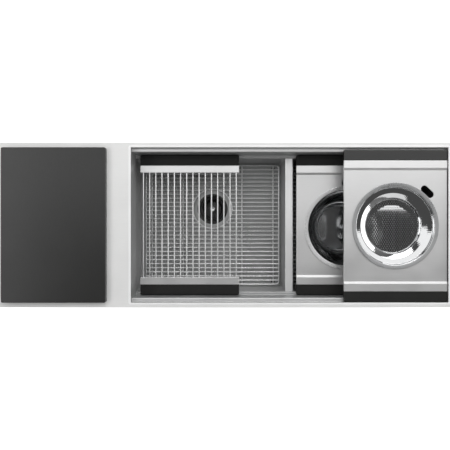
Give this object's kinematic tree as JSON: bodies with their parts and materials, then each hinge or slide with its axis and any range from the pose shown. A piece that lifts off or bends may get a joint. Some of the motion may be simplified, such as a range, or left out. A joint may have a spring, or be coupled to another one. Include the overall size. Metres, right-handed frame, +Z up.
{
  "type": "workstation kitchen sink",
  "caption": "Stainless two-bowl kitchen sink with a landing and two tiers of ledges that carry a sliding rack, platforms, mixing bowl, colander and board.",
  "frame": {"origin": "centre of the deck's footprint, on the plane of the deck's underside, which lies on the worktop", "axes": "+X along the sink from the landing to the side bowl, +Y to the back, +Z up"},
  "size_m": [1.416, 0.508, 0.3844],
  "materials": {
    "satin_steel": "satin deck",
    "brushed_steel": "brushed bowls, rack and platforms",
    "polished_steel": "polished bowls, colander and strainers",
    "black_composite": "graphite wood-fibre composite, satin",
    "black_rubber": "matt",
    "grey_rubber": "matt sound-deadening pad",
    "zinc_steel": "zinc-plated",
    "white_plastic": "moulded"
  },
  "bodies": {
    "root": {"deck_plate": "satin_steel", "back_wall": "brushed_steel", "front_wall": "brushed_steel", "left_end_wall": "brushed_steel", "right_end_wall": "brushed_steel", "bowl_divider": "brushed_steel", "main_bowl_floor": "brushed_steel", "side_bowl_floor": "brushed_steel", "main_sound_pad": "grey_rubber", "side_sound_pad": "grey_rubber", "mounting_clip_1": "zinc_steel", "mounting_clip_2": "zinc_steel", "mounting_clip_3": "zinc_steel", "mounting_clip_4": "zinc_steel", "mounting_clip_5": "zinc_steel", "mounting_clip_6": "zinc_steel", "clip_stud_nut_1": "zinc_steel", "clip_stud_nut_2": "zinc_steel", "clip_stud_nut_3": "zinc_steel", "clip_stud_nut_4": "zinc_steel", "clip_stud_nut_5": "zinc_steel", "clip_stud_nut_6": "zinc_steel", "main_strainer_body": "polished_steel", "main_drain_gasket": "black_rubber", "main_lock_nut": "zinc_steel", "main_coupling_nut": "white_plastic", "main_tailpiece": "polished_steel", "side_strainer_body": "polished_steel", "side_drain_gasket": "black_rubber", "side_lock_nut": "zinc_steel", "side_coupling_nut": "white_plastic", "side_tailpiece": "polished_steel"},
    "main_strainer": {"main_strainer_basket": "polished_steel", "main_basket_seal": "black_rubber"},
    "side_strainer": {"side_strainer_basket": "polished_steel", "side_basket_seal": "black_rubber"},
    "main_grid": {"main_grid_wires": "brushed_steel", "main_grid_foot_1": "black_rubber", "main_grid_foot_2": "black_rubber", "main_grid_foot_3": "black_rubber", "main_grid_foot_4": "black_rubber"},
    "side_grid": {"side_grid_wires": "brushed_steel", "side_grid_foot_1": "black_rubber", "side_grid_foot_2": "black_rubber", "side_grid_foot_3": "black_rubber", "side_grid_foot_4": "black_rubber"},
    "drain_rack": {"rack_frame": "brushed_steel", "rack_back_handle": "black_composite", "rack_front_handle": "black_composite"},
    "lower_platform": {"lower_platform_plate": "brushed_steel", "lower_platform_back_handle": "black_composite", "lower_platform_front_handle": "black_composite"},
    "mixing_bowl": {"mixing_bowl": "polished_steel"},
    "upper_platform": {"upper_platform_plate": "brushed_steel", "upper_platform_back_handle": "black_composite", "upper_platform_front_handle": "black_composite"},
    "colander": {"colander": "polished_steel"},
    "cutting_board": {"cutting_board": "black_composite"}
  },
  "joints": [
    {"name": "main_strainer_lift", "type": "slide", "parent": "root", "child": "main_strainer", "axis": [0, 0, 1], "range_m": [0, 0.05]},
    {"name": "side_strainer_lift", "type": "slide", "parent": "root", "child": "side_strainer", "axis": [0, 0, 1], "range_m": [0, 0.05]},
    {"name": "main_grid_lift", "type": "slide", "parent": "root", "child": "main_grid", "axis": [0, 0, 1], "range_m": [0, 0.09]},
    {"name": "side_grid_lift", "type": "slide", "parent": "root", "child": "side_grid", "axis": [0, 0, 1], "range_m": [0, 0.04]},
    {"name": "drain_rack_slide", "type": "slide", "parent": "root", "child": "drain_rack", "axis": [1, 0, 0], "range_m": [-0.015, 0.18]},
    {"name": "lower_platform_slide", "type": "slide", "parent": "root", "child": "lower_platform", "axis": [1, 0, 0], "range_m": [-0.04, 0.138]},
    {"name": "mixing_bowl_lift", "type": "slide", "parent": "lower_platform", "child": "mixing_bowl", "axis": [0, 0, 1], "range_m": [0, 0.018]},
    {"name": "upper_platform_slide", "type": "slide", "parent": "root", "child": "upper_platform", "axis": [1, 0, 0], "range_m": [-0.655, 0.003]},
    {"name": "colander_lift", "type": "slide", "parent": "upper_platform", "child": "colander", "axis": [0, 0, 1], "range_m": [0, 0.15]},
    {"name": "cutting_board_lift", "type": "slide", "parent": "root", "child": "cutting_board", "axis": [0, 0, 1], "range_m": [0, 0.12]}
  ]
}
